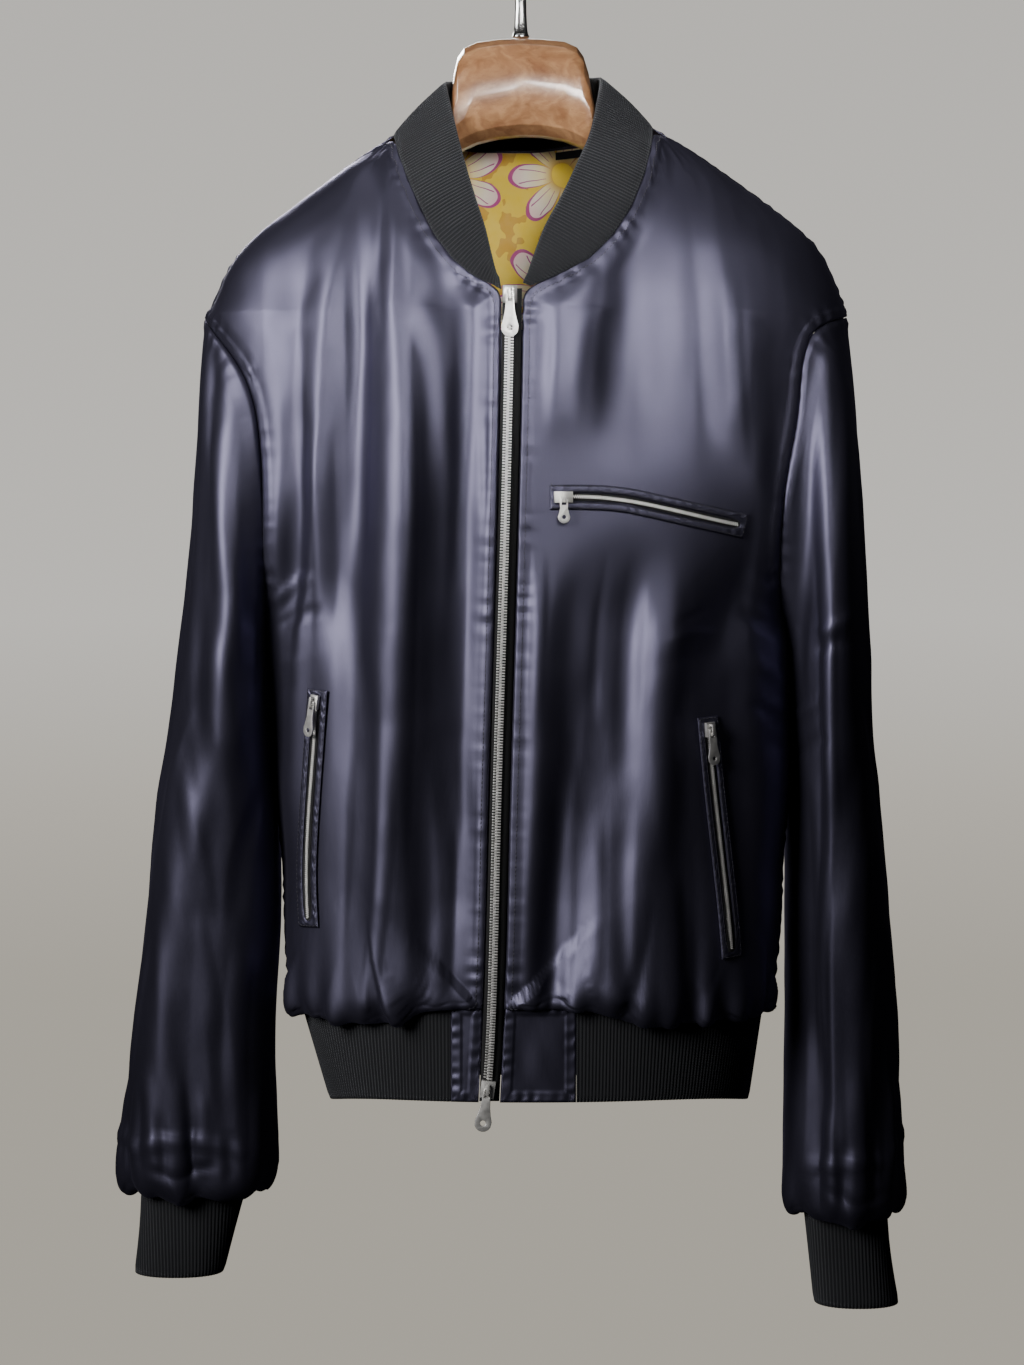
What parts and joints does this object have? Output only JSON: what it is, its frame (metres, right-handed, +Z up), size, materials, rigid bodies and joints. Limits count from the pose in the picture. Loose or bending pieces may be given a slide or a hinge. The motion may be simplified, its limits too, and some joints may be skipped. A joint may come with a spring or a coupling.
{
  "type": "bomber jacket on a wooden hanger",
  "caption": "Dark satin bomber jacket with rib collar, cuffs and hem, a two-way metal zip and zip pockets, on a broad wooden hanger with a steel hook.",
  "frame": {"origin": "inside top of the hook's bend, where a rail holds the hanger", "axes": "+X to the right of a front view, -Y out of the jacket's front, +Z up"},
  "size_m": [0.5528, 0.1918, 0.9659],
  "materials": {
    "satin": "dark aubergine-grey satin with a soft sheen",
    "rib": "matte black-grey rib knit",
    "tape": "matte black woven tape",
    "metal": "silver zip metal",
    "print": "light lining with a flower print in magenta and yellow",
    "wood": "glossy figured light-brown wood",
    "steel": "bright steel"
  },
  "bodies": {
    "jacket": {"front_left": "satin", "front_right": "satin", "back": "satin", "sleeve_left": "satin", "sleeve_right": "satin", "collar": "rib", "cuff_left": "rib", "cuff_right": "rib", "hem_rib": "rib", "hem_tab_left": "satin", "hem_tab_right": "satin", "zip_tape_left": "tape", "zip_tape_right": "tape", "zip_chain": "metal", "zip_slider_top": "metal", "zip_slider_bottom": "metal", "chest_pocket_frame": "satin", "chest_pocket_zip": "metal", "chest_slider": "metal", "side_pocket_left_frame": "satin", "side_pocket_left_zip": "metal", "side_pocket_left_slider": "metal", "side_pocket_right_frame": "satin", "side_pocket_right_zip": "metal", "side_pocket_right_slider": "metal", "back_lining": "print", "hang_loop": "tape", "hanger": "wood", "hook": "steel"},
    "pull_top_body": {"zip_pull_top": "metal"},
    "pull_bottom_body": {"zip_pull_bottom": "metal"},
    "pull_chest_body": {"chest_pull": "metal"},
    "pull_left_body": {"side_pocket_left_pull": "metal"},
    "pull_right_body": {"side_pocket_right_pull": "metal"}
  },
  "joints": [
    {"name": "pull_top", "type": "hinge", "parent": "jacket", "child": "pull_top_body", "pos_m": [-0.00737, -0.08603, -0.2596], "axis": [-1, 0, 0], "range_deg": [0, 150]},
    {"name": "pull_bottom", "type": "hinge", "parent": "jacket", "child": "pull_bottom_body", "pos_m": [-0.0224, -0.08963, -0.7925], "axis": [-0.9903, 0, 0.1392], "range_deg": [0, 150]},
    {"name": "pull_chest", "type": "hinge", "parent": "jacket", "child": "pull_chest_body", "pos_m": [0.02856, -0.0943, -0.39477], "axis": [-0.9877, -0.1562, 0], "range_deg": [0, 150]},
    {"name": "pull_left", "type": "hinge", "parent": "jacket", "child": "pull_left_body", "pos_m": [-0.14136, -0.06679, -0.53249], "axis": [-0.7323, 0.6585, 0.1736], "range_deg": [0, 150]},
    {"name": "pull_right", "type": "hinge", "parent": "jacket", "child": "pull_right_body", "pos_m": [0.12859, -0.07869, -0.55048], "axis": [-0.8758, -0.4747, -0.0872], "range_deg": [0, 150]}
  ]
}
